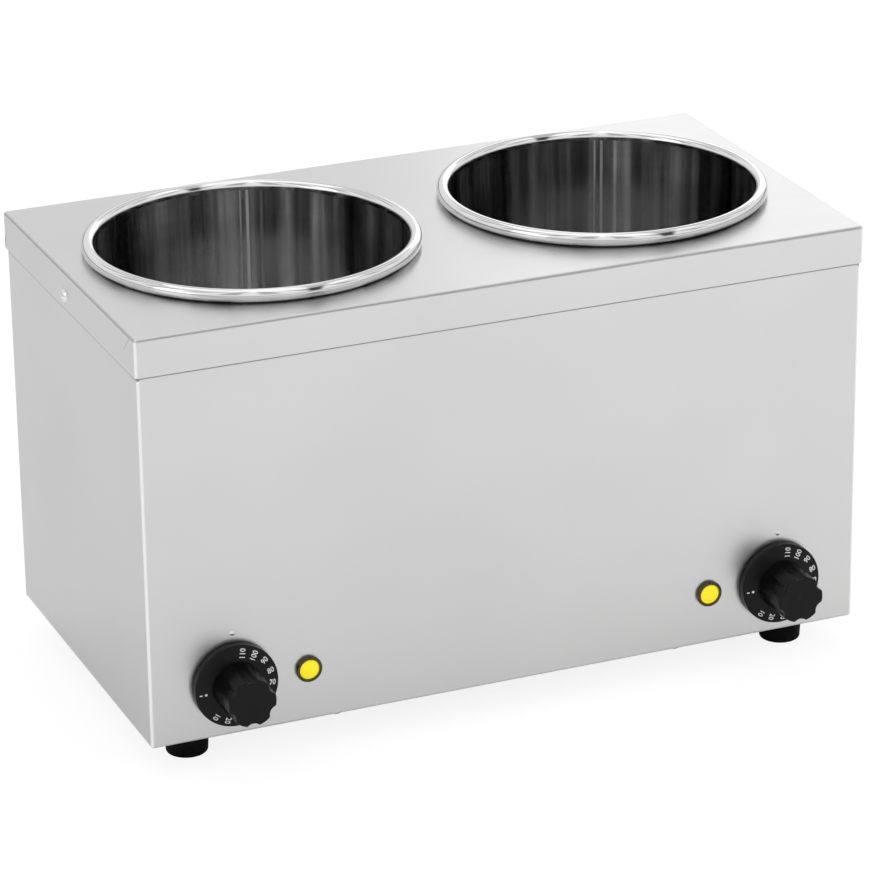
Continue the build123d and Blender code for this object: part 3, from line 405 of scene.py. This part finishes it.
finishes = {
    "satin_steel": satinSteel("satinSteel"),
    "well_steel": plainMetal("millSteel", (0.55, 0.55, 0.55), 0.35),
    "polished_steel": polishedSteel("polishedWall", potWall),
    "dial_plastic": mouldedPlastic("dialPlastic", (0.0035, 0.0035, 0.004), 0.31, 0.18),
    "bezel_chrome": plainMetal("darkChrome", (0.085, 0.08, 0.05), 0.10),
    "lamp_lens": amberLens("amberLens"),
    "black_plastic": mouldedPlastic("blackNylon", (0.015, 0.015, 0.015), 0.45, 0.3),
    "foot_rubber": mouldedPlastic("footRubber", (0.0035, 0.0035, 0.0035), 0.5, 0.06, 0.00002),
    "heater_sheath": plainMetal("heaterSheath", (0.20, 0.18, 0.16), 0.5),
    "thermostat_plastic": mouldedPlastic("thermostatCase", (0.05, 0.045, 0.04), 0.5),
    "capillary_copper": plainMetal("bareCopper", (0.72, 0.36, 0.22), 0.3),
    "block_plastic": mouldedPlastic("whiteNylon", (0.66, 0.65, 0.60), 0.4),
    "wire_insulation": mouldedPlastic("glassSleeve", (0.58, 0.54, 0.46), 0.7, 0.5, 0.00005, 700.0),
    "earth_insulation": mouldedPlastic("earthSleeve", (0.18, 0.40, 0.05), 0.5),
    "rivet_steel": plainMetal("rivetSteel", (0.88, 0.88, 0.88), 0.24, low=0.94),
    "plated_steel": plainMetal("zincPlate", (0.52, 0.52, 0.49), 0.3),
}
# The top plate and the casing shell take painted highlight on their corners and pips and painted shade from
# their masks.
special = {
    "top_plate": satinSteel("satinTop", plate, bendMask),
    "casing_shell": satinSteel("satinShell", shell, seamMask),
}
slotOf = {part["node"]: part["material_slot"] for part in frame["record"]["subparts"]}
for name, piece in frame["nodes"].items():
    piece.data.materials.clear()
    piece.data.materials.append(special.get(name, finishes[slotOf[name]]))
print("materials assigned to the frame")


# pots with their rolled rims

pot = dict(bore=0.1782, roll=0.0076, rollOpen=60.0, sheet=0.0008, height=0.170, neck=0.005, step=0.0008,
           stepHeight=0.026, corner=0.012, around=288, rollSteps=(40, 72), cornerSteps=14, stepSteps=12,
           turn=0.58, lineTurn=dict(left=71.5, right=65.5))


# Closed half section of the pot: outside up from the base, round the open roll and back down inside.
# The roll is a circle of the roll's radius round (bore / 2 + radius, top - radius); the step under the neck
# falls inwards along half a cosine wave.
def potProfile(top):
    radius = pot["roll"] / 2
    neckInside = pot["bore"] / 2
    wallInside = neckInside - pot["step"]
    middle = np.array([neckInside + radius, top - radius])
    neckLow = middle[1] - pot["neck"]
    stepLow = neckLow - pot["stepHeight"]
    base = top - pot["height"]
    sheet, corner = pot["sheet"], pot["corner"]
    wallOutside = wallInside + sheet
    rollEnd = -180.0 + pot["rollOpen"]
    a = math.radians(rollEnd)
    tip = middle + (radius - sheet / 2) * np.array([math.cos(a), math.sin(a)])
    fall = np.linspace(0, 1, pot["stepSteps"])
    ease = np.column_stack([pot["step"] * (0.5 + 0.5 * np.cos(math.pi * fall)), -pot["stepHeight"] * fall])
    inside = ease + [wallInside, neckLow]
    cornerX = wallOutside - corner
    cornerZ = base + corner
    rollIn, rollOut = pot["rollSteps"]
    return np.concatenate([
        np.array([[0.0, base]]),
        between((0, base), (cornerX, base), 10),
        arc((cornerX, cornerZ), corner, -90, 0, pot["cornerSteps"]),
        between((wallOutside, cornerZ), (wallOutside, stepLow), 24),
        (inside + [sheet, 0])[::-1],
        between((neckInside + sheet, neckLow), (neckInside + sheet, middle[1]), 4),
        arc(middle, radius - sheet, 180, rollEnd, rollIn),
        arc(tip, sheet / 2, rollEnd + 180, rollEnd, 6)[1:-1],
        arc(middle, radius, rollEnd, 180, rollOut),
        between((neckInside, middle[1]), (neckInside, neckLow), 6),
        inside,
        between((wallInside, stepLow), (wallInside, cornerZ), 40),
        arc((cornerX, cornerZ), corner - sheet, 0, -90, pot["cornerSteps"]),
        between((cornerX, base + sheet), (0, base + sheet), 16),
        np.array([[0.0, base + sheet]])])


rimSteel = polishedSteel("polishedRim", potRim)
# The right pot gets the darker copy of the wall steel: painted shade.
wallSteel = dict(left=finishes["polished_steel"], right=polishedSteel("polishedWallShaded", shadedWall))
for side in sides:
    low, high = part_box(side + "_pot")
    centre = ((low[0] + high[0]) / 2, (low[1] + high[1]) / 2, 0.0)
    profile = potProfile(high[2])
    onRim = profile[:-1, 1] > high[2] - pot["roll"] / 2 - pot["neck"] * 0.25
    mesh = gridMesh(side + "PotSkin", turned(profile, centre, pot["around"]),
                    [wallSteel[side], rimSteel], onRim, pot["turn"], pot["lineTurn"][side] / 360)
    placed(side + "_pot_polished", mesh, side + "_pot", [side + "_pot"])
print("pots made")


# printed scale on the dials: plain numbers that read outwards, and a dot and dash where the heat is off

dialScale = dict(values=range(110, 0, -10), first=10.0, step=20.8, digit=0.0034, narrow=0.88, edge=0.0228,
                 bold=0.012, thick=0.00003, lift=0.00003, offAt=265.0, dot=(0.0188, 0.00078),
                 dash=(0.0209, 0.0224, 0.00032))
skirt = dict(proud=0.0054, rise=0.0014, radius=0.0246, hub=0.0155)


# How far the skirt's face stands out at radius r: a straight cone from its edge up to the foot of the grip.
def skirtHeight(r):
    share = np.clip((skirt["radius"] - r) / (skirt["radius"] - skirt["hub"]), 0, 1)
    return skirt["proud"] + skirt["rise"] * share


# Carries flat print (outwards, upwards, thickness) to the cone: outwards turns to the clock angle seen from
# the front, upwards a quarter turn before it, and the thickness goes out along -Y from the cone's face.
def onSkirt(flat, angle, centre):
    a = math.radians(angle)
    x = flat[:, 0] * math.sin(a) - flat[:, 1] * math.cos(a)
    z = flat[:, 0] * math.cos(a) + flat[:, 1] * math.sin(a)
    proud = skirtHeight(np.hypot(x, z)) + dialScale["lift"] + flat[:, 2]
    return np.column_stack([centre[0] + x, centre[1] - proud, centre[2] + z])


# Vertices and faces of one printed number, with its digits' height and right edge as asked.
def flatText(words):
    curve = bpy.data.curves.new("figure", "FONT")
    curve.body = words
    curve.extrude = 0.01
    curve.offset = dialScale["bold"]
    curve.resolution_u = 4
    holder = bpy.data.objects.new("figure", curve)
    bpy.context.collection.objects.link(holder)
    bpy.context.view_layer.update()
    mesh = bpy.data.meshes.new_from_object(holder.evaluated_get(bpy.context.evaluated_depsgraph_get()))
    vertices = np.empty(len(mesh.vertices) * 3)
    mesh.vertices.foreach_get("co", vertices)
    vertices = vertices.reshape(-1, 3)
    faces = [tuple(face.vertices) for face in mesh.polygons]
    bpy.data.objects.remove(holder)
    bpy.data.meshes.remove(mesh)
    low, high = vertices.min(axis=0), vertices.max(axis=0)
    grow = dialScale["digit"] / (high[1] - low[1])
    flat = (vertices - [high[0], (low[1] + high[1]) / 2, 0]) * [grow * dialScale["narrow"], grow, 0]
    flat[:, 0] += dialScale["edge"]
    flat[:, 2] = np.sign(vertices[:, 2]) * dialScale["thick"]
    return flat, faces


# Thin closed plate over a convex outline that runs counter-clockwise.
def flatPatch(outline):
    count = len(outline)
    ring = np.arange(count)
    after = np.roll(ring, -1)
    faces = [tuple(ring[::-1].tolist()), tuple((ring + count).tolist())]
    faces += [tuple(face) for face in np.column_stack([ring, after, after + count, ring + count]).tolist()]
    levels = (-dialScale["thick"], dialScale["thick"])
    return np.vstack([np.column_stack([outline, np.full(count, z)]) for z in levels]), faces


printWhite = printedWhite("padPrint")
figures = []
for i, value in enumerate(dialScale["values"]):
    figures.append((flatText(str(value)), dialScale["first"] + dialScale["step"] * i))
dotPlace, dotRadius = dialScale["dot"]
figures.append((flatPatch(arc((dotPlace, 0), dotRadius, 0, 345, 24)), dialScale["offAt"]))
dashIn, dashOut, dashHalf = dialScale["dash"]
dash = np.array([[dashIn, -dashHalf], [dashOut, -dashHalf], [dashOut, dashHalf], [dashIn, dashHalf]])
figures.append((flatPatch(dash), dialScale["offAt"]))
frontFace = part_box("left_lamp_bezel")[1][1]
for side in sides:
    low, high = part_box(side + "_dial")
    centre = ((low[0] + high[0]) / 2, frontFace, (low[2] + high[2]) / 2)
    vertices, faces = [], []
    for (flat, own), angle in figures:
        start = sum(len(block) for block in vertices)
        faces += [tuple(start + corner for corner in face) for face in own]
        vertices.append(onSkirt(flat, angle, centre))
    mesh = bpy.data.meshes.new(side + "Scale")
    mesh.from_pydata(np.concatenate(vertices).tolist(), [], faces)
    mesh.materials.append(printWhite)
    mesh.update()
    placed(side + "_dial_scale", mesh, side + "_dial")
print("dial scales printed")


# camera, stage and light

view = dict(position=(-0.9044, -2.1878, 1.0971), azimuth=-22.428, elevation=22.174, roll=0.771, lens=180.75)


# Camera that looks back along (sin a cos e, -cos a cos e, sin e), rolled clockwise.
def aimCamera():
    a, e, roll = (math.radians(view[key]) for key in ("azimuth", "elevation", "roll"))
    back = Vector((math.sin(a) * math.cos(e), -math.cos(a) * math.cos(e), math.sin(e)))
    right = Vector((0, 0, 1)).cross(back).normalized()
    up = back.cross(right)
    rolledRight = right * math.cos(roll) - up * math.sin(roll)
    rolledUp = back.cross(rolledRight)
    data = bpy.data.cameras.new("photoCamera")
    data.sensor_width = 36.0
    data.lens = view["lens"]
    data.clip_end = 50.0
    camera = bpy.data.objects.new("photoCamera", data)
    bpy.context.collection.objects.link(camera)
    turn = Matrix((rolledRight, rolledUp, back)).transposed().to_4x4()
    camera.matrix_world = Matrix.Translation(view["position"]) @ turn
    bpy.context.scene.camera = camera


stage = dict(floorHalf=6.0, floorColour=0.86, floorRough=0.9, shadowShare=0.22, white=1.09)


# Pale floor: white to the camera, with a light trace of the object's shadow.
def layFloor():
    half = stage["floorHalf"]
    mesh = bpy.data.meshes.new("paleFloor")
    ends = [(-half, -half, 0), (half, -half, 0), (half, half, 0), (-half, half, 0)]
    mesh.from_pydata(ends, [], [(0, 1, 2, 3)])
    floor = bpy.data.objects.new("paleFloor", mesh)
    bpy.context.collection.objects.link(floor)
    material, tree, shader = newMaterial("paleFloor")
    shader.inputs["Base Color"].default_value = (*(stage["floorColour"],) * 3, 1)
    shader.inputs["Roughness"].default_value = stage["floorRough"]
    shader.inputs["Specular IOR Level"].default_value = 0.0
    white = node(tree, "ShaderNodeEmission", Color=(1, 1, 1, 1), Strength=stage["white"])
    white = white.outputs["Emission"]
    seen = node(tree, "ShaderNodeLightPath").outputs["Is Camera Ray"]
    share = maths(tree, "MULTIPLY", seen, 1.0 - stage["shadowShare"])
    mixed = node(tree, "ShaderNodeMixShader", n0=share, n1=shader.outputs["BSDF"], n2=white)
    tree.links.new(mixed.outputs["Shader"], tree.nodes["Material Output"].inputs["Surface"])
    mesh.materials.append(material)


surround = dict(low=0.76, high=1.0, rise=(-0.1, 0.6), skirtingAt=0.055, skirtingHalf=0.04,
                skirtingShade=0.8, flagAt=0.353, flagHalf=0.07, flagLow=0.22, flagBack=0.3, flagShade=0.9,
                screens=12.0, screenShade=0.5, screenLow=0.5)


# World: white behind the object; for light and reflections a pale room of upright screens with dark joints
# overhead, one dark flag in front and a dark skirting round the foot of the walls.
def lightSurround():
    world = bpy.data.worlds.new("studio")
    world.use_nodes = True
    bpy.context.scene.world = world
    tree = world.node_tree
    direction = node(tree, "ShaderNodeTexCoord").outputs["Generated"]
    split = node(tree, "ShaderNodeSeparateXYZ", Vector=direction).outputs
    around = maths(tree, "ARCTAN2", split["X"], split["Y"])
    shade = ranged(tree, split["Z"], surround["low"], surround["high"], *surround["rise"])
    high = above(tree, split["Z"], surround["screenLow"], 0.1)
    wave = maths(tree, "SINE", maths(tree, "MULTIPLY", around, surround["screens"]))
    dark = maths(tree, "MULTIPLY", above(tree, wave, 0.0, 0.7), high)
    shade = maths(tree, "MULTIPLY", shade, ranged(tree, dark, 1.0, 1.0 - surround["screenShade"]))
    flag = band(tree, split["X"], surround["flagAt"], surround["flagHalf"], 0.03)
    flag = maths(tree, "MULTIPLY", flag, above(tree, split["Z"], surround["flagLow"], 0.05))
    behind = above(tree, split["Y"], surround["flagBack"], 0.1)
    flag = maths(tree, "MULTIPLY", flag, maths(tree, "SUBTRACT", 1.0, behind))
    shade = maths(tree, "MULTIPLY", shade, ranged(tree, flag, 1.0, 1.0 - surround["flagShade"]))
    skirting = band(tree, split["Z"], surround["skirtingAt"], surround["skirtingHalf"], 0.015)
    shade = maths(tree, "MULTIPLY", shade, ranged(tree, skirting, 1.0, 1.0 - surround["skirtingShade"]))
    seen = node(tree, "ShaderNodeLightPath").outputs["Is Camera Ray"]
    level = node(tree, "ShaderNodeMix", {"data_type": "FLOAT"}, n0=seen, n2=shade, n3=1.0).outputs[0]
    colour = node(tree, "ShaderNodeCombineColor", Red=level, Green=level, Blue=level).outputs["Color"]
    tree.links.new(colour, tree.nodes["Background"].inputs["Color"])


lamps = [
    dict(name="overheadBox", place=(0.2, 0.2, 2.2), size=(2.4, 1.6), watts=6.0),
    dict(name="leftBox", place=(-2.2, -0.6, 1.2), size=(1.2, 1.6), watts=3.0),
    dict(name="leftFloorBox", place=(-0.95, -0.5, 1.2), size=(0.6, 0.6), watts=2.6, aim=(-0.85, -0.45, 0.0),
         mirrored=False),
    dict(name="frontFloorBox", place=(1.0, -1.7, 1.3), size=(1.0, 1.0), watts=14.0, aim=(0.75, -1.1, 0.0),
         mirrored=False),
    dict(name="rightRearBox", place=(1.6, 2.0, 0.9), size=(1.4, 1.2), watts=3.0)]


# Soft rectangular box that points at the middle of the object or at another aim. Where mirrored is off, its
# light falls on the surfaces but no steel mirrors it.
def hangLamp(name, place, size, watts, aim=(0, 0, 0.14), mirrored=True):
    data = bpy.data.lights.new(name, "AREA")
    data.shape = "RECTANGLE"
    data.size, data.size_y = size
    data.energy = watts
    lamp = bpy.data.objects.new(name, data)
    bpy.context.collection.objects.link(lamp)
    lamp.location = place
    lamp.rotation_euler = (Vector(place) - Vector(aim)).to_track_quat("Z", "Y").to_euler()
    lamp.visible_camera = False
    lamp.visible_glossy = mirrored


aimCamera()
layFloor()
lightSurround()
for lamp in lamps:
    hangLamp(**lamp)
bpy.context.scene.view_settings.view_transform = "Standard"
print("camera, floor and lights placed")
